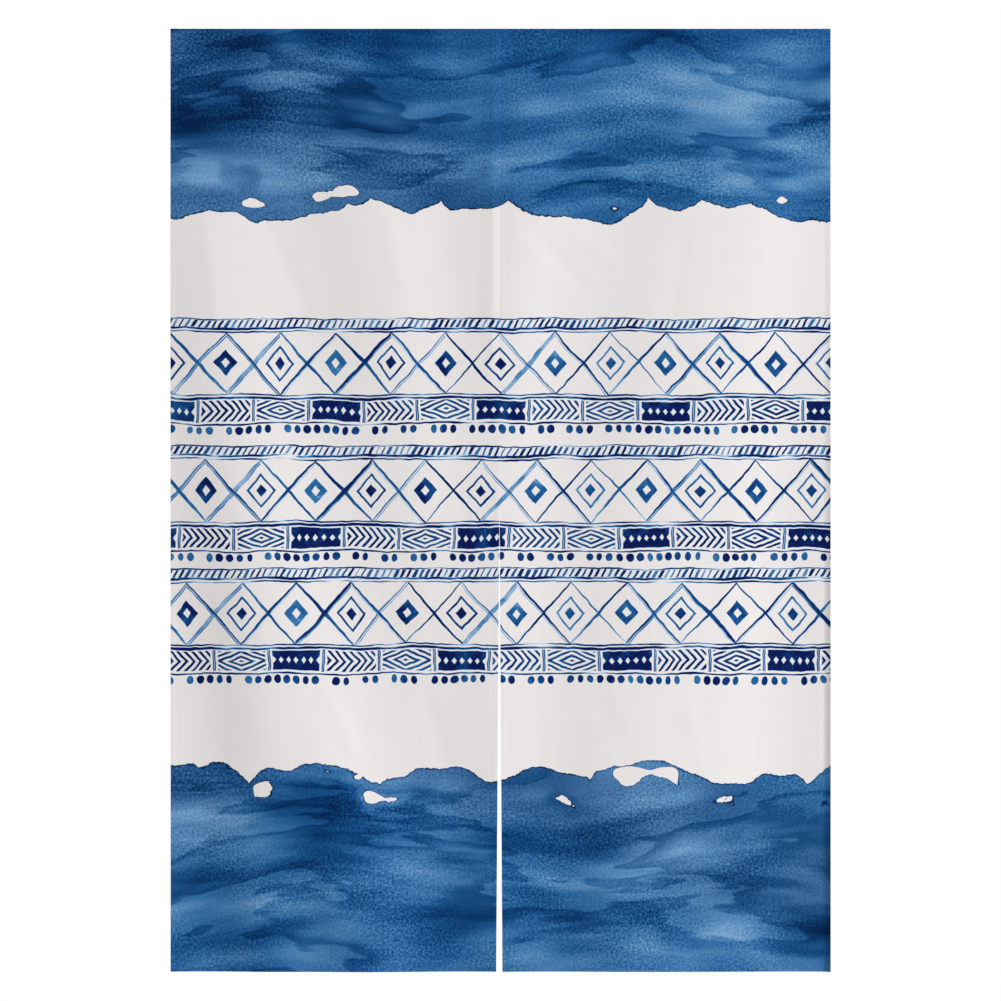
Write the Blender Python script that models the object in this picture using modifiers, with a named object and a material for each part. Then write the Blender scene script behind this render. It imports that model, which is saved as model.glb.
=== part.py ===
"""A two-panel noren: a split doorway curtain that hangs from its top edge.

Run it with blender --background --python part.py, or from Blender's text editor.

Metres, +Z up. The origin is the middle of the top edge, on the face that is seen, and that face looks
along -Y. Two cloth panels hang side by side. They meet along a closed seam from the top edge down to
the head of the slit, and below it their inner edges drift apart to the foot. The cloth is turned back
along every edge, so it is thicker there, on the side away from the viewer.
"""

from collections import namedtuple

import bmesh
import bpy

# Driving sizes of the whole curtain
WIDTH = 0.840
DROP = 1.200
CLOTH = 0.0012
TURNED_CLOTH = 0.0020

# How far the cloth is turned back along each edge, and how sharply it steps down beyond the turn
TOP_TURN = 0.050
FOOT_TURN = 0.020
SIDE_TURN = 0.010
TURN_STEP = 0.001

# The line where the panels meet, as places across the curtain and a depth below the top edge
SEAM_GAP = 0.0003
SEAM_X_TOP = 0.0012
SLIT_HEAD_X = -0.0013
SLIT_HEAD_DROP = 0.606
LEFT_FOOT_X = -0.0055
RIGHT_FOOT_X = 0.0024

# The top edge is held straight, and the folds reach their full depth this far below it
FOLDS_GROW_OVER = 0.300

# Grid of each panel between its turned edges
INNER_COLUMNS = 17
INNER_ROWS = 27

# A fold is a long soft ridge that leans as it falls. x_top, x_mid and x_foot are the places of its crest
# across the curtain at the top, halfway down and at the foot. spread is its half width. rise_top and
# rise_foot say how far it stands out towards the viewer, and a hollow has a rise below nought.
Fold = namedtuple("Fold", "x_top x_mid x_foot spread rise_top rise_foot")

LEFT_FOLDS = (
    Fold(x_top=-0.385, x_mid=-0.326, x_foot=-0.165, spread=0.062, rise_top=0.0018, rise_foot=0.0076),
    Fold(x_top=-0.315, x_mid=-0.195, x_foot=-0.050, spread=0.066, rise_top=-0.0022, rise_foot=-0.0032),
    Fold(x_top=-0.205, x_mid=-0.110, x_foot=-0.015, spread=0.056, rise_top=0.0034, rise_foot=-0.0022),
    Fold(x_top=-0.095, x_mid=-0.050, x_foot=-0.030, spread=0.040, rise_top=-0.0020, rise_foot=-0.0004),
    Fold(x_top=-0.440, x_mid=-0.425, x_foot=-0.380, spread=0.050, rise_top=-0.0016, rise_foot=-0.0056),
    Fold(x_top=-0.345, x_mid=-0.322, x_foot=-0.290, spread=0.035, rise_top=-0.0016, rise_foot=0.0030),
    Fold(x_top=0.010, x_mid=0.005, x_foot=0.000, spread=0.045, rise_top=0.0010, rise_foot=0.0024),
)

RIGHT_FOLDS = (
    Fold(x_top=0.190, x_mid=0.072, x_foot=0.066, spread=0.058, rise_top=-0.0024, rise_foot=-0.0024),
    Fold(x_top=0.335, x_mid=0.222, x_foot=0.190, spread=0.078, rise_top=0.0025, rise_foot=0.0036),
    Fold(x_top=0.425, x_mid=0.370, x_foot=0.365, spread=0.048, rise_top=-0.0018, rise_foot=-0.0042),
    Fold(x_top=0.045, x_mid=0.010, x_foot=0.000, spread=0.034, rise_top=0.0022, rise_foot=0.0006),
    Fold(x_top=0.430, x_mid=0.430, x_foot=0.430, spread=0.010, rise_top=-0.0015, rise_foot=0.0100),
)

# Colour of the unprinted ground of the cloth
GROUND_COLOUR = (0.78, 0.75, 0.74, 1.0)
GROUND_ROUGHNESS = 0.85

TURN_GROUP = "turned edge"


def clear_scene():
    """Removes whatever the file opened with."""
    for obj in list(bpy.data.objects):
        bpy.data.objects.remove(obj, do_unlink=True)


def blend(low, high, share):
    """Runs from low to high in a straight line as share goes from 0 to 1."""
    return low + (high - low) * share


def ease(share):
    """A smooth step from 0 to 1."""
    share = min(max(share, 0.0), 1.0)
    return share * share * (3.0 - 2.0 * share)


def bell(offset, spread):
    """A soft hump, 1 in the middle and 0 from twice its spread outwards."""
    reach = min(abs(offset) / (2.0 * spread), 1.0)
    return (1.0 - reach * reach) ** 3


def through_three(top, middle, foot, share):
    """The parabola that passes three places, at shares 0, one half and 1."""
    return (
        top * (1.0 - share) * (1.0 - 2.0 * share)
        + middle * 4.0 * share * (1.0 - share)
        + foot * share * (2.0 * share - 1.0)
    )


def inner_edge(drop, foot_x, side):
    """Where a panel's inner edge lies at this depth below the top. side is -1 for the left panel."""
    half_gap = side * SEAM_GAP / 2.0
    if drop <= SLIT_HEAD_DROP:
        return blend(SEAM_X_TOP, SLIT_HEAD_X, drop / SLIT_HEAD_DROP) + half_gap
    below = (drop - SLIT_HEAD_DROP) / (DROP - SLIT_HEAD_DROP)
    return blend(SLIT_HEAD_X + half_gap, foot_x, below)


def rise_at(x, drop, folds):
    """How far the face stands out towards the viewer, from all the folds together."""
    share = drop / DROP
    held = ease(drop / FOLDS_GROW_OVER)
    total = 0.0
    for fold in folds:
        crest = through_three(fold.x_top, fold.x_mid, fold.x_foot, share)
        total += blend(fold.rise_top, fold.rise_foot, share) * bell(x - crest, fold.spread)
    return total * held


def steps_across(length, first_turn, last_turn, inner_count):
    """Places of the grid lines over a length: a turned edge, its step, even cells, and the other edge."""
    start = first_turn + TURN_STEP
    stop = length - last_turn - TURN_STEP
    inner = [blend(start, stop, n / inner_count) for n in range(inner_count + 1)]
    return [0.0, first_turn, *inner, length - last_turn, length]


def face_point(across, drop, side, foot_x, folds):
    """A point of the panel's face. across runs from 0 at the outer edge to 1 at the inner edge."""
    outer = side * WIDTH / 2.0
    inner = inner_edge(drop, foot_x, side)
    x = blend(outer, inner, across)
    return x, -rise_at(x, drop, folds), -drop


def ground_material():
    """The pale woven ground that carries the print."""
    material = bpy.data.materials.new("printed_cloth")
    material.use_nodes = True
    shader = material.node_tree.nodes["Principled BSDF"]
    shader.inputs["Base Color"].default_value = GROUND_COLOUR
    shader.inputs["Roughness"].default_value = GROUND_ROUGHNESS
    shader.inputs["Metallic"].default_value = 0.0
    return material


def make_panel(name, side, foot_x, folds, collection, material):
    """One panel: a grid laid on the folds, thickened to the back, more so where the cloth is turned."""
    width = WIDTH / 2.0
    columns = steps_across(width, SIDE_TURN, SIDE_TURN, INNER_COLUMNS)
    rows = steps_across(DROP, TOP_TURN, FOOT_TURN, INNER_ROWS)
    if side > 0:
        columns = [width - place for place in reversed(columns)]
    last_column = len(columns) - 1
    last_row = len(rows) - 1

    grid = bmesh.new()
    bmesh.ops.create_grid(grid, x_segments=last_column, y_segments=last_row, size=1.0)
    turned = grid.verts.layers.deform.verify()
    for vert in grid.verts:
        column = round((vert.co.x + 1.0) / 2.0 * last_column)
        row = round((1.0 - vert.co.y) / 2.0 * last_row)
        place = columns[column] / width
        across = place if side < 0 else 1.0 - place
        drop = rows[row]
        vert.co = face_point(across, drop, side, foot_x, folds)
        in_turn = column <= 1 or column >= last_column - 1 or row <= 1 or row >= last_row - 1
        vert[turned][0] = 1.0 if in_turn else 0.0

    mesh = bpy.data.meshes.new(name)
    grid.to_mesh(mesh)
    grid.free()
    mesh.materials.append(material)

    panel = bpy.data.objects.new(name, mesh)
    collection.objects.link(panel)
    panel.vertex_groups.new(name=TURN_GROUP)

    cloth = panel.modifiers.new("cloth", "SOLIDIFY")
    cloth.thickness = TURNED_CLOTH
    cloth.offset = -1.0
    cloth.vertex_group = TURN_GROUP
    cloth.thickness_vertex_group = CLOTH / TURNED_CLOTH
    mesh.shade_smooth()
    mesh.set_sharp_from_angle(angle=0.6)
    return panel


def build():
    """Both panels, in one collection."""
    clear_scene()
    collection = bpy.data.collections.new("noren curtain")
    bpy.context.scene.collection.children.link(collection)
    material = ground_material()
    make_panel("left_panel", -1, LEFT_FOOT_X, LEFT_FOLDS, collection, material)
    make_panel("right_panel", 1, RIGHT_FOOT_X, RIGHT_FOLDS, collection, material)


build()
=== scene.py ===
# %% [markdown]
# A noren is a short split curtain that hangs in a doorway. This one is two panels of plain-weave cloth, sewn
# edge to edge down the upper middle and left open below, so that people can walk through. The cloth is off
# white and carries a print in indigo: a wash at the head and the foot, and three brushed borders between.
#
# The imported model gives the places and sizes. Each panel there is a plain solid, and here it is replaced by
# a thin sheet with turned hems, stitches, weave and print.

from collections import namedtuple
from math import hypot, pi

import bpy
import numpy as np
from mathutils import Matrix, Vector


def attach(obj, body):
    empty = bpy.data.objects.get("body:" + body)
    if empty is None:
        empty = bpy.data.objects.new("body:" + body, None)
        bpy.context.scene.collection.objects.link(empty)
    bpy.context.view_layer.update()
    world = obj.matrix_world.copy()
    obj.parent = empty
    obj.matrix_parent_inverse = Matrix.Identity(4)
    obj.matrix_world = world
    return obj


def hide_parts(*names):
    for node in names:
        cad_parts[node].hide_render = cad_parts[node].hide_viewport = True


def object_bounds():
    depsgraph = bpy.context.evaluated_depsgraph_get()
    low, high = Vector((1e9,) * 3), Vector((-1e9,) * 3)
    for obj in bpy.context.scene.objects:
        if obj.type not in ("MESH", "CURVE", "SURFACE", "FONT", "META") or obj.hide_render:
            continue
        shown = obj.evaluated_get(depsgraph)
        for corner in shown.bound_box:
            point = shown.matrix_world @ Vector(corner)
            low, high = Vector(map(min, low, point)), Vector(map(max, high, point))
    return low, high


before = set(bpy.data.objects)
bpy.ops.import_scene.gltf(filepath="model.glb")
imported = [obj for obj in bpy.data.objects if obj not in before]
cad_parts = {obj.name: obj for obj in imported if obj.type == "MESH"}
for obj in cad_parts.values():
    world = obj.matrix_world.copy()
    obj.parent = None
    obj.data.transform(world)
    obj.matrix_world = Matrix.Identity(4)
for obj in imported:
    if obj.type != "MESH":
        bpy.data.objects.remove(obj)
cad_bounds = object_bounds()

LOWEST, HIGHEST = (np.array(corner) for corner in cad_bounds)
WIDTH = 0.840
DROP = 1.200
print("CAD box:", LOWEST.round(4), HIGHEST.round(4))

# %% [markdown]
# The camera looks straight at the middle of the curtain from far away, because the photograph shows no
# perspective: every edge is upright. A long lens does that, and still lets the view be turned. The frame is
# a little taller than the curtain, so the curtain fills 943 of its 1001 pixels.

# %% Camera
FRAME_SIZE = DROP * 1001 / 943.1
CAMERA_DISTANCE = 8.0
SENSOR = 36.0
MIDDLE = -0.6003


def make_camera():
    """A long lens, level with the middle of the drop. Its focal length is the sensor times the distance,
    over the width that it has to take in."""
    lens = bpy.data.cameras.new("long lens")
    lens.sensor_width = SENSOR
    lens.lens = SENSOR * CAMERA_DISTANCE / FRAME_SIZE
    camera = bpy.data.objects.new("camera", lens)
    camera.location = (0.0, -CAMERA_DISTANCE, MIDDLE)
    camera.rotation_euler = (pi / 2, 0.0, 0.0)
    bpy.context.scene.collection.objects.link(camera)
    bpy.context.scene.camera = camera
    return camera


camera = make_camera()
print("focal length:", round(camera.data.lens, 1), "mm")

# %% [markdown]
# The folds of the cloth are only a few millimetres deep, so they would vanish in flat light. A wide soft
# panel from the right grazes them: a slope that faces it is lighter, and one that turns away is darker. It
# stands far off, so that the near side of the curtain is no brighter than the far side. A second panel
# lights the back, and a white sky fills the shadows. The camera sees the sky as a clean white background.

# %% Light and floor
SKY_STRENGTH = 0.46
KEY_PLACE = (9.0, -5.0, 1.65)
KEY_SIZE = 4.0
KEY_POWER = 1060.0
BACK_PLACE = (-4.0, 7.0, 1.2)
BACK_SIZE = 4.0
BACK_POWER = 300.0
FLOOR_DEPTH = -1.80
FLOOR_RADIUS = 5.0


def make_sky():
    """White for the camera, and weaker for the light that falls on the cloth."""
    world = bpy.data.worlds.new("white sky")
    world.use_nodes = True
    nodes, links = world.node_tree.nodes, world.node_tree.links
    background = nodes["Background"]
    background.inputs["Color"].default_value = (1.0, 1.0, 1.0, 1.0)
    seen = nodes.new("ShaderNodeLightPath")
    strength = nodes.new("ShaderNodeMapRange")
    strength.inputs["To Min"].default_value = SKY_STRENGTH
    strength.inputs["To Max"].default_value = 1.0
    links.new(seen.outputs["Is Camera Ray"], strength.inputs["Value"])
    links.new(strength.outputs["Result"], background.inputs["Strength"])
    bpy.context.scene.world = world


def make_soft_light(name, place, size, power):
    """A square soft panel, turned to face the middle of the curtain."""
    panel = bpy.data.lights.new(name, "AREA")
    panel.size = size
    panel.energy = power
    light = bpy.data.objects.new(name, panel)
    light.location = place
    aim = camera.location.copy()
    aim.y = 0.0
    light.rotation_euler = (aim - light.location).to_track_quat("-Z", "Y").to_euler()
    bpy.context.scene.collection.objects.link(light)


def make_floor():
    """A plain pale disc, well below the foot of the curtain."""
    bpy.ops.mesh.primitive_circle_add(vertices=96, radius=FLOOR_RADIUS, fill_type="NGON")
    floor = bpy.context.object
    floor.name = "floor"
    floor.location.z = FLOOR_DEPTH
    material = bpy.data.materials.new("pale floor")
    material.use_nodes = True
    shader = material.node_tree.nodes["Principled BSDF"]
    shader.inputs["Base Color"].default_value = (0.86, 0.86, 0.86, 1.0)
    shader.inputs["Roughness"].default_value = 0.9
    floor.data.materials.append(material)


make_sky()
make_soft_light("key panel", KEY_PLACE, KEY_SIZE, KEY_POWER)
make_soft_light("back panel", BACK_PLACE, BACK_SIZE, BACK_POWER)
make_floor()
bpy.context.scene.view_settings.view_transform = "Standard"

# %% [markdown]
# The panels hang flat from their top edge and fall into long leaning folds. A fold could be sculpted or
# simulated, but it is simpler to say where its crest lies at the top, halfway down and at the foot. The
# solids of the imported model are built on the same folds, so the sheet lies in its solid.

# %% Folds of the solids
Fold = namedtuple("Fold", "x_top x_mid x_foot spread rise_top rise_foot")
Panel = namedtuple("Panel", "name node side foot_x folds")

SEAM_X_TOP = 0.0012
SLIT_HEAD_X = -0.0013
SLIT_HEAD_DROP = 0.606
SEAM_GAP = 0.000005
FOLDS_GROW_OVER = 0.300

LEFT_FOLDS = (
    Fold(x_top=-0.385, x_mid=-0.326, x_foot=-0.165, spread=0.062, rise_top=0.0018, rise_foot=0.0076),
    Fold(x_top=-0.315, x_mid=-0.195, x_foot=-0.050, spread=0.066, rise_top=-0.0022, rise_foot=-0.0032),
    Fold(x_top=-0.205, x_mid=-0.110, x_foot=-0.015, spread=0.056, rise_top=0.0034, rise_foot=-0.0022),
    Fold(x_top=-0.095, x_mid=-0.050, x_foot=-0.030, spread=0.040, rise_top=-0.0020, rise_foot=-0.0004),
    Fold(x_top=-0.440, x_mid=-0.425, x_foot=-0.380, spread=0.050, rise_top=-0.0016, rise_foot=-0.0056),
    Fold(x_top=-0.345, x_mid=-0.322, x_foot=-0.290, spread=0.035, rise_top=-0.0016, rise_foot=0.0030),
    Fold(x_top=0.010, x_mid=0.005, x_foot=0.000, spread=0.045, rise_top=0.0010, rise_foot=0.0024),
)
RIGHT_FOLDS = (
    Fold(x_top=0.190, x_mid=0.072, x_foot=0.066, spread=0.058, rise_top=-0.0024, rise_foot=-0.0024),
    Fold(x_top=0.335, x_mid=0.222, x_foot=0.190, spread=0.078, rise_top=0.0025, rise_foot=0.0036),
    Fold(x_top=0.425, x_mid=0.370, x_foot=0.365, spread=0.048, rise_top=-0.0018, rise_foot=-0.0042),
    Fold(x_top=0.045, x_mid=0.010, x_foot=0.000, spread=0.034, rise_top=0.0022, rise_foot=0.0006),
    Fold(x_top=0.430, x_mid=0.430, x_foot=0.430, spread=0.010, rise_top=-0.0015, rise_foot=0.0100),
)
PANELS = (
    Panel("left_cloth", "left_panel", -1, -0.0055, LEFT_FOLDS),
    Panel("right_cloth", "right_panel", 1, 0.0024, RIGHT_FOLDS),
)


def ease(share):
    """A smooth step: three times the share squared less twice the share cubed, held between 0 and 1."""
    share = np.clip(share, 0.0, 1.0)
    return share * share * (3.0 - 2.0 * share)


def bell(offset, spread):
    """A soft hump: the cube of one less the squared offset over twice the spread, and 0 beyond that."""
    reach = np.minimum(np.abs(offset) / (2.0 * spread), 1.0)
    return (1.0 - reach * reach) ** 3


def through_three(top, middle, foot, share):
    """The parabola that passes three places, at shares 0, one half and 1."""
    return (
        top * (1.0 - share) * (1.0 - 2.0 * share)
        + middle * 4.0 * share * (1.0 - share)
        + foot * share * (2.0 * share - 1.0)
    )


def inner_edge(panel, depth):
    """Where a panel's inner edge lies: a straight line down the seam, and another down the slit."""
    half_gap = panel.side * SEAM_GAP / 2.0
    head = SLIT_HEAD_X + half_gap
    closed = SEAM_X_TOP + half_gap + (head - SEAM_X_TOP - half_gap) * depth / SLIT_HEAD_DROP
    opened = head + (panel.foot_x - head) * (depth - SLIT_HEAD_DROP) / (DROP - SLIT_HEAD_DROP)
    return np.where(depth <= SLIT_HEAD_DROP, closed, opened)


def fold_rise(panel, x, depth):
    """How far the folds stand out: the sum of their bells, which grow from nothing at the top edge."""
    share = np.clip(depth / DROP, 0.0, 1.0)
    total = np.zeros(np.broadcast(x, depth).shape)
    for fold in panel.folds:
        crest = through_three(fold.x_top, fold.x_mid, fold.x_foot, share)
        rise = fold.rise_top + (fold.rise_foot - fold.rise_top) * share
        total += rise * bell(x - crest, fold.spread)
    return total * ease(depth / FOLDS_GROW_OVER)


for panel in PANELS:
    print(panel.node, "folds:", len(panel.folds))

# %% [markdown]
# Between the main folds the cloth has small soft creases from being folded and carried. Each one is a short
# trough or ridge, listed one by one: it runs from one point to another, and fades at both ends.

# %% Small creases
Crease = namedtuple("Crease", "x_from depth_from x_to depth_to half_width rise")

CREASES = (
    Crease(x_from=-0.300, depth_from=0.240, x_to=-0.245, depth_to=0.370, half_width=0.010, rise=-0.0005),
    Crease(x_from=-0.375, depth_from=0.250, x_to=-0.360, depth_to=0.390, half_width=0.008, rise=0.0004),
    Crease(x_from=-0.150, depth_from=0.225, x_to=-0.120, depth_to=0.345, half_width=0.011, rise=0.0004),
    Crease(x_from=-0.225, depth_from=0.840, x_to=-0.180, depth_to=0.930, half_width=0.010, rise=0.0005),
    Crease(x_from=-0.330, depth_from=0.560, x_to=-0.300, depth_to=0.700, half_width=0.009, rise=-0.0004),
    Crease(x_from=-0.095, depth_from=0.850, x_to=-0.065, depth_to=0.960, half_width=0.012, rise=-0.0005),
    Crease(x_from=0.030, depth_from=0.245, x_to=0.105, depth_to=0.330, half_width=0.010, rise=-0.0005),
    Crease(x_from=0.060, depth_from=0.235, x_to=0.150, depth_to=0.300, half_width=0.009, rise=0.0005),
    Crease(x_from=0.230, depth_from=0.255, x_to=0.215, depth_to=0.380, half_width=0.012, rise=-0.0004),
    Crease(x_from=0.300, depth_from=0.620, x_to=0.285, depth_to=0.760, half_width=0.010, rise=0.0004),
    Crease(x_from=0.120, depth_from=0.840, x_to=0.165, depth_to=0.945, half_width=0.012, rise=-0.0004),
    Crease(x_from=0.235, depth_from=0.850, x_to=0.260, depth_to=0.950, half_width=0.010, rise=0.0004),
)


def crease_rise(x, depth):
    """The sum of the creases. Each is a bell across its line, times a smooth fade over its two ends."""
    total = np.zeros(np.broadcast(x, depth).shape)
    for crease in CREASES:
        run_x = crease.x_to - crease.x_from
        run_depth = crease.depth_to - crease.depth_from
        length = hypot(run_x, run_depth)
        along = ((x - crease.x_from) * run_x + (depth - crease.depth_from) * run_depth) / length**2
        off_line = ((x - crease.x_from) * run_depth - (depth - crease.depth_from) * run_x) / length
        fade = ease((along + 0.25) / 0.5) * ease((1.25 - along) / 0.5)
        total += crease.rise * bell(off_line, crease.half_width) * fade
    return total


print("small creases:", len(CREASES))

# %% [markdown]
# A hem pulls the cloth in a little along its row of stitches. The face dips at the stitch line and ripples
# faintly beside it, where the thread gathers the cloth. Down the upper half of the left panel, the hem at
# the seam stands up in a low ridge: the cloth rises to the stitches and slopes back to the seam.

# %% Relief along the hems
SIDE_HEM = 0.010
TOP_HEM = 0.050
FOOT_HEM = 0.020
STITCH_INSET = 0.0015
DIP = 0.00007
DIP_HALF_WIDTH = 0.0030
RIPPLE = 0.00004
RIPPLE_LENGTH = 0.013
RIPPLE_REACH = 0.018
RIPPLE_SHIFT = 0.004
RIDGE = 0.0009
RIDGE_AT = 0.0095
RIDGE_OUTER = 0.016
RIDGE_FADES_FROM = 0.360
RIDGE_FADES_OVER = 0.140


def hem_relief(from_edge, hem, along):
    """A dip at the stitch line, and ripples along it that die away over a short reach."""
    off_line = from_edge - (hem - STITCH_INSET)
    dip = DIP * bell(off_line, DIP_HALF_WIDTH / 2.0)
    turns = 2 * pi * along / RIPPLE_LENGTH
    uneven = np.sin(turns) + 0.6 * np.sin(turns / 1.7 + 1.3)
    return dip + RIPPLE * uneven * bell(off_line, RIPPLE_REACH / 2.0)


def seam_ridge(from_inner, depth):
    """A ridge that rises evenly from the seam to the hem's stitches and falls evenly beyond, and fades out
    above the slit."""
    shape = np.minimum(from_inner / RIDGE_AT, 1.0 - (from_inner - RIDGE_AT) / RIDGE_OUTER)
    return RIDGE * np.maximum(shape, 0.0) * (1.0 - ease((depth - RIDGE_FADES_FROM) / RIDGE_FADES_OVER))


def face_depth(panel, x, depth):
    """Y of the panel's face: the hems' relief, less the folds, the creases and the ridge at the seam."""
    outer = panel.side * WIDTH / 2.0
    inner = inner_edge(panel, depth)
    from_outer = np.abs(x - outer)
    from_inner = np.abs(x - inner)
    ridge = seam_ridge(from_inner, depth) if panel.side < 0 else 0.0
    relief = (
        hem_relief(from_outer, SIDE_HEM, depth)
        + hem_relief(from_inner, SIDE_HEM, depth + RIPPLE_SHIFT)
        + hem_relief(DROP - depth, FOOT_HEM, x)
    )
    return relief - ridge - fold_rise(panel, x, depth) - crease_rise(x, depth)


left_middle = face_depth(PANELS[0], np.array(-WIDTH / 4), np.array(DROP / 2))
print("left panel's face at its middle:", round(float(left_middle), 4), "m")

# %% [markdown]
# A hem is the same cloth turned over the edge and sewn down on the back. So one grid makes the whole sheet:
# its middle cells are the face, a few cells go round each edge in half a circle, pressed flat by the iron,
# and the last ones run back over the sheet. Where a side hem meets the foot hem, the foot turns round both
# layers, in a wider half circle.

# %% Lines of the grid
FOLD_STEPS = 6
FACE_CELL = 0.0045
LINE_CLEAR = 0.0012
RUN_BACK = (0.15, 0.45, 0.75, 0.94, 1.0)
HEM_LINES = (-0.0030, -0.0018, -0.0009, 0.0, 0.0009, 0.0018, 0.0030)
EDGE_LINES = (0.0, 0.0002, 0.0008, 0.0020)
Stations = namedtuple("Stations", "share turn back end")


def face_lines(length, first_hem, last_hem):
    """Grid lines over the face, as shares: even cells, and closer lines at each edge and each row of
    stitches. The lines at the edge keep the shading of the turn from spreading over the face."""
    even = np.linspace(0.0, length, round(length / FACE_CELL) + 1)
    near = np.concatenate([np.array(EDGE_LINES), first_hem - STITCH_INSET + np.array(HEM_LINES)])
    far = length - np.concatenate([np.array(EDGE_LINES), last_hem - STITCH_INSET + np.array(HEM_LINES)])
    closer = np.concatenate([near, far])
    clear = np.abs(even[:, None] - closer[None, :]).min(axis=1) > LINE_CLEAR
    return np.sort(np.concatenate([even[clear], closer])) / length


def stations(length, first_hem, last_hem):
    """The stages of a line that crosses the sheet: first hem, first turn, face, last turn, last hem. share
    is the place on the face, turn the angle gone round the edge, back the distance run back over the
    sheet, and end says which edge a stage belongs to."""
    share = face_lines(length, first_hem, last_hem)
    bend = np.linspace(0.0, pi, FOLD_STEPS + 1)[1:]
    run = np.array(RUN_BACK)
    flat = np.zeros(len(share))
    turned = np.concatenate([bend, np.full(len(run), pi)])
    first_back = np.concatenate([np.zeros(len(bend)), run * first_hem])
    last_back = np.concatenate([np.zeros(len(bend)), run * last_hem])
    count = len(turned)
    return Stations(
        share=np.concatenate([np.zeros(count), share, np.ones(count)]),
        turn=np.concatenate([turned[::-1], flat, turned]),
        back=np.concatenate([first_back[::-1], flat, last_back]),
        end=np.concatenate([-np.ones(count), flat, np.ones(count)]),
    )


# %% [markdown]
# The sheet is then one surface over two numbers, the stage across and the stage down. Both say where a point
# lies on the face, how far round an edge it has gone and how far back it has run.

# %% Surface of a sheet
CLOTH = 0.00045
TURN_RADIUS = 0.0006
CORNER_RADIUS = 0.0013
PRESSED = 0.20
HEM_CLEAR = 0.0005
HEM_SLOPE = 0.0030


def sheet_surface(panel):
    """The sheet as arrays of columns by rows: points, and the flat place of each point in the print.

    Across, a point lies at its share of the width between the two turns, plus the sine of its turn times
    the pressed radius, less its run back. Its layer is the radius times one less the cosine. Down the
    sheet the same holds, but the radius of each layer is its distance from the middle of the turn."""
    across = stations(WIDTH / 2.0, SIDE_HEM, SIDE_HEM)
    down = stations(DROP, TOP_HEM, FOOT_HEM)
    col = Stations(*(values[:, None] for values in across))
    row = Stations(*(values[None, :] for values in down))

    from_side = np.minimum(col.share, 1 - col.share) * WIDTH / 2
    over_hem = ease((SIDE_HEM + HEM_CLEAR + HEM_SLOPE - from_side) / HEM_SLOPE)
    centre = TURN_RADIUS + (CORNER_RADIUS - TURN_RADIUS) * over_hem
    layer = TURN_RADIUS * (1.0 - np.cos(col.turn))
    end_reach = centre * PRESSED
    down_turn = (centre - layer) * PRESSED * np.sin(row.turn)
    depth = end_reach + row.share * (DROP - 2 * end_reach) + row.end * (down_turn - row.back)

    inner = inner_edge(panel, depth)
    left = np.where(panel.side < 0, -WIDTH / 2, inner)
    right = np.where(panel.side < 0, inner, WIDTH / 2)
    side_reach = TURN_RADIUS * PRESSED
    between_turns = left + side_reach + col.share * (right - left - 2 * side_reach)
    x = between_turns + col.end * (side_reach * np.sin(col.turn) - col.back)

    stacked = centre - (centre - layer) * np.cos(row.turn)
    y = face_depth(panel, x, depth) + stacked

    points = np.stack(np.broadcast_arrays(x, y, -depth), axis=-1)
    flat_x = between_turns + col.end * (side_reach * col.turn + col.back)
    flat_depth = end_reach + row.share * (DROP - 2 * end_reach) + row.end * (side_reach * row.turn + row.back)
    place = np.stack(np.broadcast_arrays(flat_x, -flat_depth), axis=-1)
    return points, place


# %% [markdown]
# The wash, the bare cloth and the borders get a material each. One material could hold all three, but a
# renderer works out every node of a material at every point, so it would spend most of its time on dye
# that isn't there. The faces of the grid are sorted by their depth down the flat cloth.

# %% Sheets
WASH_ZONE = 0.300
BORDER_ZONE = (0.350, 0.855)


def grid_mesh(name, points, place):
    """A mesh of four-sided faces over an array of points, facing the viewer, with its flat place as a map."""
    columns, rows = points.shape[:2]
    index = np.arange(columns * rows).reshape(columns, rows)
    corners = [index[:-1, :-1], index[:-1, 1:], index[1:, 1:], index[1:, :-1]]
    faces = np.stack(corners, axis=-1).reshape(-1, 4)
    mesh = bpy.data.meshes.new(name)
    mesh.from_pydata(points.reshape(-1, 3), [], faces)
    print_map = mesh.uv_layers.new(name="print")
    print_map.data.foreach_set("uv", place.reshape(-1, 2)[faces.ravel()].ravel())
    mesh.shade_smooth()
    return mesh


def zone_of_faces(place):
    """0 for the washed faces, 1 for the bare ones and 2 for those with a border, by their flat depth."""
    depth = -(place[:-1, :-1, 1] + place[1:, 1:, 1]) / 2
    bordered = (depth > BORDER_ZONE[0]) & (depth < BORDER_ZONE[1])
    washed = (depth < WASH_ZONE) | (depth > DROP - WASH_ZONE)
    return np.select([washed, bordered], [0, 2], default=1)


def make_sheet(panel):
    """The panel's cloth: the face as a grid, thickened to the back."""
    points, place = sheet_surface(panel)
    mesh = grid_mesh(panel.name, points, place)
    mesh.polygons.foreach_set("material_index", zone_of_faces(place).ravel())
    sheet = bpy.data.objects.new(panel.name, mesh)
    bpy.context.scene.collection.objects.link(sheet)
    solidify = sheet.modifiers.new("cloth", "SOLIDIFY")
    solidify.thickness = CLOTH
    solidify.offset = -1.0
    solidify.use_even_offset = True
    solidify.material_offset = 3
    print(panel.name, "grid:", points.shape[0], "by", points.shape[1])
    return sheet


sheets = [make_sheet(panel) for panel in PANELS]

# %% [markdown]
# The print is worked out by shader nodes, from the flat place of each point in metres. Long sums of nodes
# are hard to read, so a small class lets them be written as ordinary sums: adding two terms makes an Add
# node and hands back its output.

# %% Sums that build nodes


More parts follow.
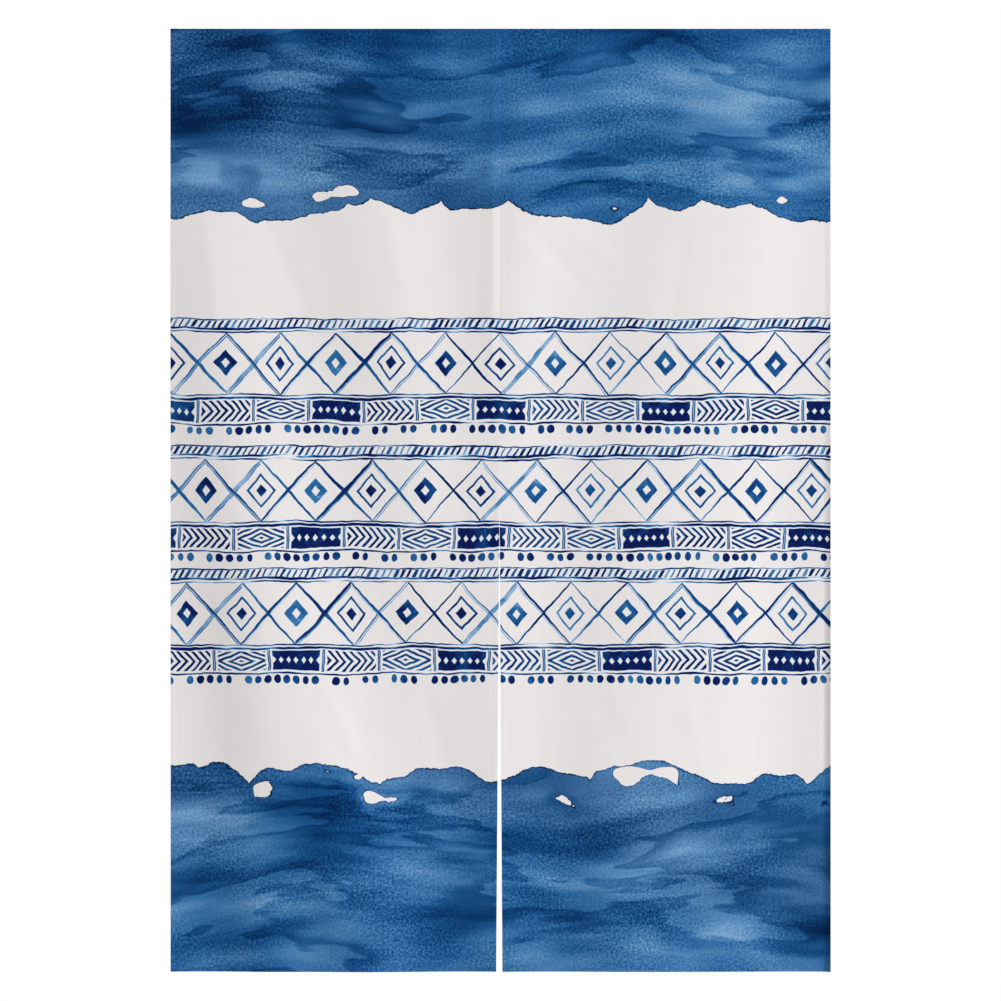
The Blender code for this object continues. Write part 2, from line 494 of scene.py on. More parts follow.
class Term:
    """A value inside a shader tree. Sums and products of terms make Math nodes."""

    def __init__(self, tree, socket):
        self.tree = tree
        self.socket = socket

    def math(self, operation, *others):
        node = self.tree.nodes.new("ShaderNodeMath")
        node.operation = operation
        for place, value in enumerate((self, *others)):
            plug(node.inputs[place], value)
        return Term(self.tree, node.outputs[0])

    def __add__(self, other):
        return self.math("ADD", other)

    def __sub__(self, other):
        return self.math("SUBTRACT", other)

    def __mul__(self, other):
        return self.math("MULTIPLY", other)

    def __truediv__(self, other):
        return self.math("DIVIDE", other)

    def __abs__(self):
        return self.math("ABSOLUTE")

    def flip(self):
        """One less the value."""
        return (self * -1.0) + 1.0


def plug(socket, value):
    """Links a term to a socket, or sets a plain number on it."""
    if isinstance(value, Term):
        value.tree.links.new(value.socket, socket)
    else:
        socket.default_value = value


def least(first, second):
    return first.math("MINIMUM", second)


def most(first, second):
    return first.math("MAXIMUM", second)


def whole(value):
    """The whole number at or below a value."""
    return value.math("FLOOR")


def swing(value, half):
    """Runs from 0 up to half and back to 0, over and over."""
    return value.math("PINGPONG", half)


def soft_step(value, start, stop):
    """A smooth step from 0 at start to 1 at stop. With start above stop, it falls instead."""
    node = value.tree.nodes.new("ShaderNodeMapRange")
    node.interpolation_type = "SMOOTHSTEP"
    plug(node.inputs["Value"], value)
    plug(node.inputs["From Min"], start)
    plug(node.inputs["From Max"], stop)
    return Term(value.tree, node.outputs["Result"])


def between(low, high, share):
    """Runs from low to high in a straight line as share goes from 0 to 1."""
    return share * (high - low) + low


# %% [markdown]
# Cloth and dye are uneven in two ways. Noise changes smoothly from place to place, and chance gives each
# stroke of the brush a number of its own.

# %% Noise and chance


def cloud(x, y, per_metre_x, per_metre_y, detail=2.0, rough=0.5, seed=0.0):
    """Smooth noise from 0 to 1 over the plane, with its own number of features a metre each way."""
    tree = x.tree
    joined = tree.nodes.new("ShaderNodeCombineXYZ")
    plug(joined.inputs["X"], x * per_metre_x + seed)
    plug(joined.inputs["Y"], y * per_metre_y + seed * 1.7)
    noise = tree.nodes.new("ShaderNodeTexNoise")
    noise.noise_dimensions = "2D"
    noise.inputs["Scale"].default_value = 1.0
    noise.inputs["Detail"].default_value = detail
    noise.inputs["Roughness"].default_value = rough
    tree.links.new(joined.outputs["Vector"], noise.inputs["Vector"])
    return Term(tree, noise.outputs["Fac"])


def chance(index, salt):
    """A random number from 0 to 1 that stays the same for a whole number and a salt."""
    node = index.tree.nodes.new("ShaderNodeTexWhiteNoise")
    node.noise_dimensions = "1D"
    plug(node.inputs["W"], index + salt * 17.31)
    return Term(index.tree, node.outputs["Value"])


# %% [markdown]
# Each finish is a node group, so that it can be used on the face and on the back. A group takes the flat
# place of a point and gives colours and masks, and the shader itself stays in the material.

# %% Groups and colours


def new_group(name, inputs, outputs):
    """A shader node group with named sockets, and the nodes that stand for its two ends."""
    tree = bpy.data.node_groups.new(name, "ShaderNodeTree")
    for socket, kind in inputs:
        tree.interface.new_socket(name=socket, in_out="INPUT", socket_type=kind)
    for socket, kind in outputs:
        tree.interface.new_socket(name=socket, in_out="OUTPUT", socket_type=kind)
    return tree, tree.nodes.new("NodeGroupInput"), tree.nodes.new("NodeGroupOutput")


def pattern_group(name):
    """A group that turns a flat place into a colour of dye, and how much of the cloth it covers."""
    outputs = [("Colour", "NodeSocketColor"), ("Cover", "NodeSocketFloat")]
    return new_group(name, [("Place", "NodeSocketVector")], outputs)


def across_and_down(tree, ends):
    """The two parts of a group's Place: metres to the right of the middle, and metres below the top."""
    parts = tree.nodes.new("ShaderNodeSeparateXYZ")
    tree.links.new(ends.outputs["Place"], parts.inputs["Vector"])
    return Term(tree, parts.outputs["X"]), Term(tree, parts.outputs["Y"]) * -1.0


def colour_scale(tree, value, stops):
    """A colour ramp. Each stop is a place from 0 to 1 and a colour in linear light."""
    node = tree.nodes.new("ShaderNodeValToRGB")
    plug(node.inputs["Fac"], value)
    elements = node.color_ramp.elements
    while len(elements) < len(stops):
        elements.new(0.5)
    for element, (place, colour) in zip(elements, stops):
        element.position = place
        element.color = colour
    return node.outputs["Color"]


def place_group(tree, group, place):
    """Puts a node group into a tree and feeds it the flat place."""
    node = tree.nodes.new("ShaderNodeGroup")
    node.node_tree = group
    tree.links.new(place, node.inputs["Place"])
    return node


def mix_colours(tree, share, first, second, how="MIX"):
    """Blends two colours. share, first and second are sockets, terms or plain values."""
    node = tree.nodes.new("ShaderNodeMix")
    node.data_type = "RGBA"
    node.blend_type = how
    for socket, value in ((node.inputs[0], share), (node.inputs[6], first), (node.inputs[7], second)):
        if isinstance(value, bpy.types.NodeSocket):
            tree.links.new(value, socket)
        else:
            plug(socket, value)
    return node.outputs[2]


def dye(red, green, blue):
    """A colour as a dyer would read it off a screen, from 0 to 255, turned to linear light."""
    screen = np.array([red, green, blue]) / 255.0
    linear = np.where(screen <= 0.04045, screen / 12.92, ((screen + 0.055) / 1.055) ** 2.4)
    return (*linear.tolist(), 1.0)


# %% [markdown]
# The wash at each end is indigo laid on wet cloth. It spreads in rounded lobes with sharp notches between
# them, dries with a thin dark rim, leaves small islands bare and granulates into fine specks. All of it
# comes from noise at several scales. The edge is a limit whose value falls from above nought inside the
# wash to below nought on bare cloth: the noise's distance from its middle value gives the lobes, because
# that distance has a sharp turn wherever the noise crosses the middle. Indigo also dries unevenly, bright
# in one place and greyish in another.

# %% Indigo wash
HEAD_REACH = 0.218
FOOT_REACH = 0.239
LOBE = 0.042
LUMP = 0.021
FRAY = 0.0034
ISLAND_DEPTH = 0.019
ISLANDS_BELOW = 0.655
DROP_REACH = 0.007
DROPS_ABOVE = 0.74
FOOT_NOISE_SHIFT = 5.1
EDGE_BLEED = 0.0004


def wash_limit(x, inward, reach):
    """Above nought inside the wash: its reach, plus lobes, lumps and frays, less the depth. Islands are cut
    out a little way inside the edge, and drops are added a little way outside it."""
    lobes = (abs(cloud(x, inward, 7.6, 2.0, detail=0.6, seed=4.1) - 0.5) * 2.0).math("POWER", 0.7) * LOBE
    lumps = (cloud(x, inward, 24.0, 17.0, detail=1.0, seed=2.3) - 0.5) * LUMP
    frays = (cloud(x, inward, 170.0, 170.0, detail=1.0, seed=6.7) - 0.5) * FRAY
    edge = lobes + lumps + frays - inward + reach
    islands = (cloud(x, inward, 15.0, 26.0, detail=1.0, seed=9.4) * -1.0 + ISLANDS_BELOW) * 0.13 + frays
    drops = (cloud(x, inward, 19.0, 27.0, detail=1.0, seed=5.2) - DROPS_ABOVE) * 0.14
    pierced = least(edge, islands + abs(edge - ISLAND_DEPTH) * 0.7)
    return most(pierced, drops - abs(edge + DROP_REACH) * 0.6)


# %% [markdown]
# Inside its edge the wash is never one tone. Where it was wettest the dye settled deep, where the brush
# was nearly dry it is thin, and where a layer had dried, the next one ends in a sharp line.

# %% Tones of the wash
MEAN_TONE = 0.56
POOLS = 1.26
STROKES = 0.36
TIDES = 0.20
BEND = 0.070
DEEP_END = 0.13
DEEP_END_REACH = 0.080
CALM_STRIP = (0.036, 0.004)
RIM = 0.0026
RIM_DEPTH = (0.10, 0.62)
SPECKS = (1.24, 0.74)
WASH_COLOURS = (
    (0.06, dye(0, 32, 76)),
    (0.26, dye(6, 60, 112)),
    (0.42, dye(24, 81, 136)),
    (0.55, dye(46, 103, 156)),
    (0.72, dye(76, 128, 176)),
    (0.98, dye(128, 168, 204)),
)
GREYED = (1.40, 0.98, 0.92, 1.0)


def wet_tone(x, inward):
    """The dye before it dries: its mean, plus soft pools and long strokes of the brush, less the deep end
    and the tide lines, where one layer dried over another, sharp on one side. Slow noise bends them all."""
    level = inward + (cloud(x, inward, 3.4, 5.0, detail=0.0, seed=1.9) - 0.5) * BEND
    pools = (cloud(x, level, 4.0, 11.0, detail=2.0, rough=0.55, seed=3.2) - 0.5) * POOLS
    strokes = (cloud(x, level, 4.0, 36.0, detail=2.0, rough=0.6, seed=7.7) - 0.5) * STROKES
    layer = cloud(x, level, 2.0, 9.0, detail=4.0, rough=0.58, seed=4.4)
    tides = soft_step(layer, 0.60, 0.50) * soft_step(layer, 0.484, 0.504) * TIDES
    deep_end = soft_step(inward, DEEP_END_REACH, 0.0) * DEEP_END
    return pools + strokes - deep_end - tides + MEAN_TONE


def wash_tone(x, inward, limit):
    """0 where the dye is deepest and 1 where it is thinnest. A strip along the edge is calmer, and ends in
    a dark rim. Specks lie over all of it, and they are stronger where the dye is deep."""
    calm = cloud(x, inward, 5.0, 5.0, detail=0.0, seed=8.8) * 0.90 + 0.10
    tone = between(wet_tone(x, inward), calm, soft_step(limit, *CALM_STRIP) * 0.6)
    dried = cloud(x, inward, 9.0, 14.0, detail=0.0, seed=2.9) * between(*SPECKS, tone)
    specks = (cloud(x, inward, 330.0, 330.0, detail=1.0, rough=0.7, seed=0.7) - 0.5) * dried
    rim_depth = between(*RIM_DEPTH, cloud(x, inward, 26.0, 26.0, detail=0.0, seed=3.9))
    return tone + specks - soft_step(limit, RIM, RIM * 0.35) * rim_depth


def build_wash():
    """Outputs the wash's colour and how much of the cloth it covers. The wash at the foot starts elsewhere
    in the noise, so it differs from the one at the head."""
    tree, start, finish = pattern_group("indigo wash")
    across, depth = across_and_down(tree, start)
    at_foot = soft_step(depth, 0.59, 0.61)
    x = across + at_foot * FOOT_NOISE_SHIFT
    inward = least(depth, depth * -1.0 + DROP)
    limit = wash_limit(x, inward, between(HEAD_REACH, FOOT_REACH, at_foot))
    tone = wash_tone(x, inward, limit)
    indigo = colour_scale(tree, tone, WASH_COLOURS)
    patch = soft_step(cloud(x, inward, 2.3, 4.0, detail=0.0, seed=6.1), 0.42, 0.62)
    greyed = mix_colours(tree, patch * soft_step(tone, 0.80, 0.50), indigo, GREYED, how="MULTIPLY")
    tree.links.new(greyed, finish.inputs["Colour"])
    plug(finish.inputs["Cover"], soft_step(limit, -EDGE_BLEED, EDGE_BLEED))
    print("indigo wash:", len(tree.nodes), "nodes")
    return tree


wash_group = build_wash()

# %% [markdown]
# Each border is a strip of common geometric ornament, drawn with a brush: a ladder of ticks, a row of
# lozenges between double lines, a heavy frieze and a row of dabs. A brush line is a distance from its
# middle, compared with half its width. A whole number for each stroke picks its own width and its own
# strength, so that no two strokes match, and noise bends the whole border a little.

# %% Brush strokes
BLEED_OUT = 0.00055
BLEED_IN = 0.00075


def stroke(distance, half_width, strength=1.0):
    """Ink of a brush line: its strength within half its width, fading to nothing over a narrow rim, where
    the dye has crept along the yarns."""
    fade = soft_step(distance, half_width + BLEED_OUT, half_width - BLEED_IN)
    return fade * strength


def level_line(y, middle, half_width, strength):
    """A line that runs the whole way across, at one depth."""
    return stroke(abs(y - middle), half_width, strength)


def pick(index, salt, low, high):
    """A value between low and high that belongs to a whole number."""
    return between(low, high, chance(index, salt))


# %% [markdown]
# The widest part of a border is a row of lozenges. They are drawn as slanting strokes that cross, as a
# brush would do it, and then each lozenge gets a heart.

# %% Lozenges
LOZENGE = 0.070
FIELD_TOP = 0.0190
FIELD_FOOT = 0.0965
PALE_STROKE_OFF = 0.0027
PALE_STROKE_HALF = 0.0010


def slanting_strokes(x, y, salt):
    """Strokes that fall and rise in turn between the top and the foot of the field. Each has its own lean,
    width and strength, which changes from one end to the other, and a paler stroke beside it. The share
    down a stroke is the place across its cell, turned round in every second cell."""
    cell = x / LOZENGE
    index = whole(cell)
    turn = abs(index.math("MODULO", 2.0))
    share = abs(turn - (cell - index))
    line = between(FIELD_TOP, FIELD_FOOT, share) + pick(index, salt, -0.003, 0.003) * (share - 0.5)
    steepness = LOZENGE / hypot(LOZENGE, FIELD_FOOT - FIELD_TOP)
    off = (y - line) * steepness
    half_width = pick(index, salt + 1, 0.0009, 0.0024) * between(0.65, 1.15, swing(share, 0.5) * 2.0)
    strength = between(pick(index, salt + 2, 0.35, 1.1), pick(index, salt + 3, 0.35, 1.1), share)
    pale = stroke(abs(off - PALE_STROKE_OFF), PALE_STROKE_HALF, pick(index, salt + 4, -0.15, 0.5))
    half_field = (FIELD_FOOT - FIELD_TOP) / 2
    inside = soft_step(abs(y - (FIELD_TOP + FIELD_FOOT) / 2), half_field + 0.001, half_field)
    return most(stroke(abs(off), half_width, strength), pale) * inside


def lozenge_distance(x, y, half_wide, half_high):
    """Distance outwards from the sides of a lozenge: the sum of x and y over its half sizes, less one,
    scaled to metres."""
    scale = half_wide * half_high / hypot(half_wide, half_high)
    return (abs(x) / half_wide + abs(y) / half_high - 1.0) * scale


def hearts_of_lozenges(x, y):
    """What fills the lozenges: a ring with a dab in it, and in every second one a solid heart."""
    cell = x / LOZENGE + 0.5
    index = whole(cell)
    from_middle = (cell - index - 0.5) * LOZENGE
    down = y - (FIELD_TOP + FIELD_FOOT) / 2
    odd = abs(index.math("MODULO", 2.0))
    ring = stroke(abs(lozenge_distance(from_middle, down, 0.0175, 0.0205)), 0.0014, 0.78)
    dab = stroke(lozenge_distance(from_middle, down, 0.0070, 0.0084), 0.0, 1.0)
    heart = stroke(lozenge_distance(from_middle, down, 0.0145, 0.0172), 0.0, 0.92)
    core = stroke(lozenge_distance(from_middle, down, 0.0055, 0.0068), 0.0, 1.0)
    plain = most(ring, dab)
    solid = least(heart, core.flip())
    return most(plain * odd.flip(), solid * odd) * pick(index, 31, 0.6, 1.05)


# %% [markdown]
# The frieze is the darkest strip. A cell number picks one of three fillings, and all three are drawn from
# the distance to a lozenge or to a slanting line, repeated by running to and fro.

# %% Frieze
FRIEZE_MIDDLE = 0.1180
FRIEZE_HALF = 0.0125
FRIEZE_CELL = 0.0700
FRIEZE_HALF_WIDE = 0.0305


def frieze(x, y):
    """A heavy strip of three panels in turn: a bar with lozenges left bare, arrow stripes, and rings of
    lozenges."""
    cell = x / FRIEZE_CELL
    index = whole(cell)
    from_middle = (cell - index - 0.5) * FRIEZE_CELL
    down = y - FRIEZE_MIDDLE
    kind = index.math("FLOORED_MODULO", 3.0)
    box = most(abs(from_middle) - FRIEZE_HALF_WIDE, abs(down) - FRIEZE_HALF)
    within = stroke(box, 0.0)

    along = swing(from_middle + 0.0050, 0.0050) - 0.0050
    bare = stroke(lozenge_distance(along * -1.0, down, 0.0034, 0.0046), 0.0)
    bar = bare.flip()
    arrows = stroke(swing(from_middle + abs(down) * 0.9, 0.0045), 0.0021)
    rings = stroke(swing(abs(from_middle) * 0.42 + abs(down), 0.0031), 0.0016)

    first = soft_step(kind, 0.6, 0.4)
    last = soft_step(kind, 1.4, 1.6)
    middle = (first + last).flip()
    body = (bar * first + arrows * middle + rings * last) * within
    post = stroke(abs(abs(from_middle) - 0.0340), 0.0008, 0.8) * soft_step(abs(down), 0.0140, 0.0132)
    return most(body * pick(index, 5, 0.66, 1.05), post)


# %% [markdown]
# A ladder of ticks closes the border at its top, and a row of dabs at its foot.

# %% Ticks and dabs
TICK_PITCH = 0.0080
DAB_PITCH = 0.0124


def ticks(x, y):
    """A ladder of short slanting ticks."""
    slanted = x + y * 0.55
    index = whole(slanted / TICK_PITCH)
    from_middle = abs(slanted - (index + 0.5) * TICK_PITCH)
    tall = soft_step(abs(y - 0.0070), 0.0052, 0.0044)
    return stroke(from_middle, pick(index, 7, 0.0011, 0.0025)) * tall * pick(index, 8, 0.4, 1.05)


def dabs(x, y):
    """A row of upright dabs of the brush, with one left out here and there."""
    index = whole(x / DAB_PITCH)
    from_middle = (x - (index + 0.5) * DAB_PITCH) / pick(index, 9, 0.0036, 0.0050)
    down = (y - 0.1422) / 0.0052
    round_off = (from_middle * from_middle + down * down).math("SQRT") - 1.0
    there = soft_step(chance(index, 10), 0.10, 0.12)
    return soft_step(round_off, 0.09, -0.09) * there * pick(index, 11, 0.55, 1.05)


# %% [markdown]
# The same border is used three times, each starting at another place along it. The ink of all its strokes
# is one value, the strongest of them, and a colour scale turns it from pale to deep indigo.

# %% Border
BAND_TOP = 0.368
BAND_STEP = 0.162
BAND_STEP_EASE = 0.003
BAND_SHIFT = 0.0247
BAND_LINES = (
    (0.0010, 0.0008),
    (0.0134, 0.0015),
    (0.0176, 0.0009),
    (0.0978, 0.0009),
    (0.1022, 0.0016),
    (0.1345, 0.0010),
)
BORDER_COLOURS = (
    (0.00, dye(206, 222, 238)),
    (0.22, dye(172, 201, 228)),
    (0.46, dye(48, 116, 168)),
    (0.68, dye(14, 70, 130)),
    (0.94, dye(6, 23, 82)),
)


def hand_sway(x, y, seed):
    """How far the hand strays from the drawn line: a slow drift and a quick shake."""
    drift = (cloud(x, y, 14.0, 14.0, detail=1.0, seed=seed) - 0.5) * 0.0070
    shake = (cloud(x, y, 75.0, 75.0, detail=1.0, seed=seed + 1.1) - 0.5) * 0.0022
    return drift + shake


def build_border():
    """Outputs the border's colour and cover, for three bands that differ in where they start."""
    tree, start, finish = pattern_group("brushed border")
    x, depth = across_and_down(tree, start)
    band = least(most(whole((depth - BAND_TOP + 0.006) / (BAND_STEP - BAND_STEP_EASE)), 0.0), 2.0)
    band_top = band * (BAND_STEP + BAND_STEP_EASE) - band * band * BAND_STEP_EASE + BAND_TOP
    across = x + band * BAND_SHIFT + hand_sway(x, depth, 1.1) + 2.1
    down = depth - band_top + hand_sway(x, depth, 3.3)

    flow = cloud(across, depth, 20.0, 70.0, detail=2.0, seed=5.5)
    ink = most(slanting_strokes(across, down, 1), slanting_strokes(across + LOZENGE, down, 21))
    for middle, half_width in BAND_LINES:
        uneven_half = between(half_width * 0.4, half_width * 1.6, flow)
        ink = most(ink, level_line(down, middle, uneven_half, flow * 2.4 - 0.32))
    ink = most(ink, hearts_of_lozenges(across, down))
    ink = most(ink, frieze(across + LOZENGE / 2, down))
    ink = most(ink, ticks(across, down))
    ink = most(ink, dabs(across, down))

    pooling = (cloud(across, down, 48.0, 48.0, detail=2.0, seed=6.6) - 0.5) * 0.9
    dry = soft_step(cloud(across, down, 420.0, 420.0, detail=1.0, seed=7.7), 0.56, 0.80) * 0.20
    tree.links.new(colour_scale(tree, ink + ink * (pooling - dry), BORDER_COLOURS), finish.inputs["Colour"])
    plug(finish.inputs["Cover"], soft_step(ink, 0.01, 0.30))
    print("brushed border:", len(tree.nodes), "nodes")
    return tree


border_group = build_border()

# %% [markdown]
# The cloth is a plain weave with uneven yarns, like a light linen. Each crossing of yarns is a small bump,
# longer along the yarn that is on top, and its colour is painted a little darker in the hollows between
# crossings, as painted shade. The crossings are finer than a step away shows. What shows are thick
# and thin places in the yarns, as faint streaks of many lengths, stronger down the cloth than across it.

# %% Plain weave
YARN_PITCH = 0.0007


def build_weave():
    """Outputs the height of the weave from 0 to 1, and a tint near 1 that the colour is multiplied by:
    thick and thin yarns, with painted shade in the hollows between crossings.
    """
    outputs = [("Height", "NodeSocketFloat"), ("Tint", "NodeSocketFloat")]
    tree, start, finish = new_group("plain weave", [("Place", "NodeSocketVector")], outputs)
    x, depth = across_and_down(tree, start)
    across = x / YARN_PITCH
    down = depth / YARN_PITCH
    upright = swing(across, 0.5) * 2.0
    level = swing(down, 0.5) * 2.0
    which = soft_step(swing(whole(across) + whole(down), 1.0), 0.4, 0.6)
    over = upright * between(0.55, 1.0, level)
    under = level * between(0.55, 1.0, upright)
    crossing = over * which + under * which.flip()
    slubs_up = cloud(x, depth, 300.0, 7.0, detail=2.0, rough=0.6, seed=1.3) - 0.5
    slubs_level = cloud(x, depth, 9.0, 330.0, detail=1.0, rough=0.6, seed=2.6) - 0.5
    slubs = slubs_up + slubs_level * 0.4
    plug(finish.inputs["Height"], crossing * 0.6)
    # The crossing term in the tint is painted shade: the hollows between crossings are coloured darker.
    plug(finish.inputs["Tint"], slubs * 0.055 + (crossing - 0.5) * 0.04 + 1.0)
    print("plain weave:", len(tree.nodes), "nodes")
    return tree


weave_group = build_weave()

# %% [markdown]
# The face and the back of the cloth are one print seen from two sides. Dye soaks through thin cloth, so the
# back carries the same pattern, paler and in one soft blue. A group lays a print over the bare cloth, and a
# strength says how much of the dye comes through.

# %% Printed cloth
GROUND = dye(229, 225, 224)
SOAKED = dye(74, 126, 182)
LEAST_COVER = 0.42


def build_print(name, pattern):
    """Outputs the colour of the cloth under a pattern, or of bare cloth, and the height of its weave."""
    tree, start, finish = new_group(
        name,
        [("Place", "NodeSocketVector"), ("Strength", "NodeSocketFloat")],
        [("Colour", "NodeSocketColor"), ("Height", "NodeSocketFloat")],
    )
    place = start.outputs["Place"]
    weave = place_group(tree, weave_group, place)
    colour = GROUND
    if pattern:
        dyed = place_group(tree, pattern, place)
        strength = Term(tree, start.outputs["Strength"])
        soaked = mix_colours(tree, strength, SOAKED, dyed.outputs["Colour"])
        share = Term(tree, dyed.outputs["Cover"]) * between(LEAST_COVER, 1.0, strength)
        colour = mix_colours(tree, share, GROUND, soaked)
    # The weave's tint darkens the colour in the hollows of the weave as painted shade, besides the thick and
    # thin yarns.
    colour = mix_colours(tree, 1.0, colour, weave.outputs["Tint"], how="MULTIPLY")
    tree.links.new(colour, finish.inputs["Colour"])
    tree.links.new(weave.outputs["Height"], finish.inputs["Height"])
    return tree


def cloth_material(name, group, strength, roughness):
    """Woven cloth that carries a print at a strength. The weave makes its bump, and fine fuzz its sheen."""
    material = bpy.data.materials.new(name)
    material.use_nodes = True
    tree = material.node_tree
    shader = tree.nodes["Principled BSDF"]
    shader.inputs["Roughness"].default_value = roughness
    shader.inputs["Specular IOR Level"].default_value = 0.05
    shader.inputs["Sheen Weight"].default_value = 0.02
    shader.inputs["Sheen Roughness"].default_value = 0.5
    flat_place = tree.nodes.new("ShaderNodeUVMap")
    flat_place.uv_map = "print"
    printed = place_group(tree, group, flat_place.outputs["UV"])
    printed.inputs["Strength"].default_value = strength
    bump = tree.nodes.new("ShaderNodeBump")
    bump.inputs["Strength"].default_value = 0.5
    bump.inputs["Distance"].default_value = 0.00012
    tree.links.new(printed.outputs["Height"], bump.inputs["Height"])
    tree.links.new(printed.outputs["Colour"], shader.inputs["Base Color"])
    tree.links.new(bump.outputs["Normal"], shader.inputs["Normal"])
    return material


# %% [markdown]
# Each zone has one group and two materials: the face at full strength, and the back, where less of the dye
# shows and the surface is a little duller.

# %% Dress the panels
ZONE_PATTERNS = (("washed", wash_group), ("bare", None), ("bordered", border_group))
FACE_STRENGTH = 1.0
BACK_STRENGTH = 0.36
FACE_ROUGHNESS = 0.85
BACK_ROUGHNESS = 0.90

printed = [(zone, build_print(zone + " cloth", pattern)) for zone, pattern in ZONE_PATTERNS]
cloth_materials = []
looks = (("face", FACE_STRENGTH, FACE_ROUGHNESS), ("back", BACK_STRENGTH, BACK_ROUGHNESS))
for side, strength, roughness in looks:
    for zone, group in printed:
        cloth_materials.append(cloth_material(f"{zone}_{side}", group, strength, roughness))

for panel, sheet in zip(PANELS, sheets):
    for material in cloth_materials:
        sheet.data.materials.append(material)
    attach(sheet, "root")
    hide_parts(panel.node)
print("cloth materials:", len(cloth_materials))

# %% [markdown]
# The hems are sewn by hand from the back with small slanting stitches that catch only a thread or two of
# the face, so nothing shows in front. The panels are joined down the upper middle in the same way, with
# stitches that cross from one hem to the other, and a close bar of them stops the slit from tearing on.
# Each stitch is a short arch of thread. All the stitches of a row are worked out at once, as one array of
# rings: stitch by ring by side of the thread.

# %% Threads
THREAD_RADIUS = 0.00017
THREAD_SIDES = 5
STITCH_RINGS = 7


def thread_tubes(starts, ends, arch):
    """Tubes along arches from each start to each end. The middle of a thread is the straight line between
    its two ends, plus the arch times the sine of half a turn, towards the back. Each ring lies across the
    run of its stitch."""
    share = np.linspace(0.0, 1.0, STITCH_RINGS)[None, :, None]
    middle = starts[:, None] + (ends - starts)[:, None] * share
    middle[..., 1] += arch * np.sin(pi * share[..., 0])
    run = ends - starts
    level = np.stack([-run[:, 2], np.zeros(len(run)), run[:, 0]], axis=-1)
    level = (level / np.linalg.norm(level, axis=-1, keepdims=True))[:, None, None]
    back = np.array([0.0, 1.0, 0.0])
    angle = (np.arange(THREAD_SIDES) * 2 * pi / THREAD_SIDES)[None, None, :, None]
    radius = THREAD_RADIUS * (0.55 + 0.45 * np.sin(pi * share))[:, :, None]
    return middle[:, :, None] + radius * (np.cos(angle) * level + np.sin(angle) * back)


def tube_faces(count):
    """Faces of the tubes: each ring is joined to the next, round all sides, and both ends are closed."""
    index = np.arange(count * STITCH_RINGS * THREAD_SIDES).reshape(count, STITCH_RINGS, THREAD_SIDES)
    turned = np.roll(index, -1, axis=2)
    walls = [index[:, :-1], index[:, 1:], turned[:, 1:], turned[:, :-1]]
    sides = np.stack(walls, axis=-1).reshape(-1, 4).tolist()
    return sides + index[:, 0].tolist() + index[:, -1, ::-1].tolist()


# %% [markdown]
# Every hem has one row of stitches over its free edge. A row needs only the place of that edge and the way
# over the cloth, so two short functions make all four: one for the sides, one for the top and the foot.

# %% Stitches of the hems
HEM_PITCH = 0.0065
SLANT = 0.0026
ON_HEM = 0.0016
ON_SHEET = 0.0012
CORNER_CLEAR = 0.014


def outer_edge(panel, depth):
    """Where a panel's outer edge lies: straight down."""
    return np.full_like(depth, panel.side * WIDTH / 2)


def back_of_cloth(panel, x, depth, thickness):
    """The point on the back of the cloth, where its layers are this thick together."""
    return np.stack(np.broadcast_arrays(x, face_depth(panel, x, depth) + thickness, -depth), axis=-1)


def side_row(panel, edge, inward):
    """Both ends of each stitch down a side hem: one on the hem, and one on the cloth beyond it. edge gives
    the x of the cloth's edge at a depth, and inward is the way from there over the cloth."""
    down = np.arange(CORNER_CLEAR, DROP - FOOT_HEM - CORNER_CLEAR / 2, HEM_PITCH)
    start_x = edge(panel, down) + inward * (SIDE_HEM - ON_HEM)
    end_x = edge(panel, down + SLANT) + inward * (SIDE_HEM + ON_SHEET)
    starts = back_of_cloth(panel, start_x, down, 2 * TURN_RADIUS)
    return starts, back_of_cloth(panel, end_x, down + SLANT, CLOTH)


def level_row(panel, hem_end, downward):
    """The same along the top or the foot. hem_end is the depth where the hem ends, and downward is 1 where
    the bare sheet lies below that and -1 where it lies above."""
    left, right = sorted([panel.side * WIDTH / 2, float(inner_edge(panel, hem_end))])
    along = np.arange(left + CORNER_CLEAR, right - CORNER_CLEAR, HEM_PITCH)
    starts = back_of_cloth(panel, along, hem_end - downward * ON_HEM, 2 * TURN_RADIUS)
    return starts, back_of_cloth(panel, along + SLANT, hem_end + downward * ON_SHEET, CLOTH)


def hem_stitches(panel):
    """Both ends of every stitch of a panel's four hems."""
    rows = [
        side_row(panel, outer_edge, -panel.side),
        side_row(panel, inner_edge, panel.side),
        level_row(panel, TOP_HEM, 1),
        level_row(panel, DROP - FOOT_HEM, -1),
    ]
    return [np.concatenate(ends) for ends in zip(*rows)]


# %% [markdown]
# The seam is sewn last, with the two panels side by side. The bar at the head of the slit is the same
# stitch, longer and set close.

# %% Stitches of the seam
SEAM_PITCH = 0.0042
SEAM_CLEAR = 0.006
SEAM_SLANT = 0.0015
SEAM_REACH = 0.0019
BAR_PITCH = 0.0005
BAR_COUNT = 12
BAR_REACH = 0.0028
BAR_RISE = 0.004


def crossing_row(down, reach, slant):
    """Both ends of stitches that cross from the left panel's hem to the right one's."""
    left, right = PANELS
    starts = back_of_cloth(left, inner_edge(left, down) - reach, down, 2 * TURN_RADIUS)
    return starts, back_of_cloth(right, inner_edge(right, down) + reach, down + slant, 2 * TURN_RADIUS)


def seam_stitches():
    """The stitches down the seam, and the close bar of them at the head of the slit."""
    down = np.arange(SEAM_CLEAR, SLIT_HEAD_DROP - SEAM_CLEAR, SEAM_PITCH)
    bar_down = SLIT_HEAD_DROP - BAR_RISE + np.arange(BAR_COUNT) * BAR_PITCH
    seam = crossing_row(down, SEAM_REACH, SEAM_SLANT)
    bar = crossing_row(bar_down, BAR_REACH, 0.0)
    return [np.concatenate(ends) for ends in zip(seam, bar)]
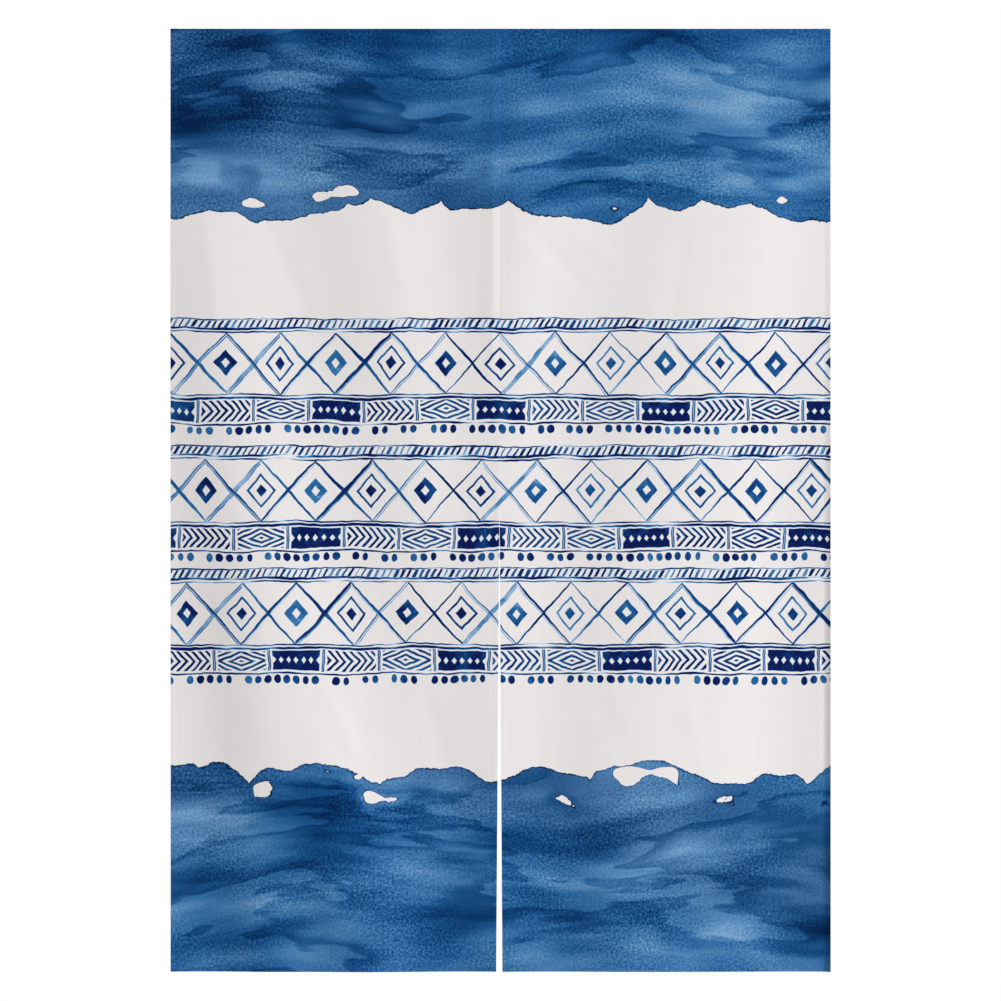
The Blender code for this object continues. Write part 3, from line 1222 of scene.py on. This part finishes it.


# %% [markdown]
# The thread is off white and spun: its twist is a row of fine ridges, and its shade changes faintly along
# it. The grooves between the ridges are painted darker, as painted shade. Its places come from the object's
# own coordinates.

# %% Sewing
HEM_ARCH = 0.00030
SEAM_ARCH = 0.00045
TWIST_PITCH = 0.00022


def thread_material():
    """Off-white spun thread: ridges that run round it, with painted shade in the grooves between them, and a
    faint change of shade along it.
    """
    material = bpy.data.materials.new("thread")
    material.use_nodes = True
    tree = material.node_tree
    shader = tree.nodes["Principled BSDF"]
    shader.inputs["Roughness"].default_value = 0.7
    shader.inputs["Sheen Weight"].default_value = 0.15
    place = tree.nodes.new("ShaderNodeTexCoord")
    parts = tree.nodes.new("ShaderNodeSeparateXYZ")
    tree.links.new(place.outputs["Object"], parts.inputs["Vector"])
    x, z = Term(tree, parts.outputs["X"]), Term(tree, parts.outputs["Z"])
    twist = swing((x + z) / TWIST_PITCH, 0.5) * 2.0
    shade = cloud(x, z, 120.0, 120.0, seed=2.4)
    colour = colour_scale(tree, shade, ((0.3, dye(214, 208, 198)), (0.7, dye(236, 232, 224))))
    # The twist also darkens the colour in the grooves between its ridges: painted shade.
    colour = mix_colours(tree, 1.0, colour, twist * 0.18 + 0.82, how="MULTIPLY")
    tree.links.new(colour, shader.inputs["Base Color"])
    bump = tree.nodes.new("ShaderNodeBump")
    bump.inputs["Strength"].default_value = 0.6
    bump.inputs["Distance"].default_value = 0.00005
    plug(bump.inputs["Height"], twist)
    tree.links.new(bump.outputs["Normal"], shader.inputs["Normal"])
    return material


def make_stitches(name, starts, ends, arch, material):
    """One piece that holds a whole set of stitches."""
    points = thread_tubes(starts, ends, arch)
    mesh = bpy.data.meshes.new(name)
    mesh.from_pydata(points.reshape(-1, 3), [], tube_faces(len(starts)))
    mesh.shade_smooth()
    mesh.materials.append(material)
    stitches = bpy.data.objects.new(name, mesh)
    bpy.context.scene.collection.objects.link(stitches)
    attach(stitches, "root")
    print(name, "stitches:", len(starts), "faces:", len(mesh.polygons))


thread = thread_material()
for panel in PANELS:
    make_stitches(panel.name.replace("cloth", "hem_stitches"), *hem_stitches(panel), HEM_ARCH, thread)
make_stitches("seam_stitches", *seam_stitches(), SEAM_ARCH, thread)
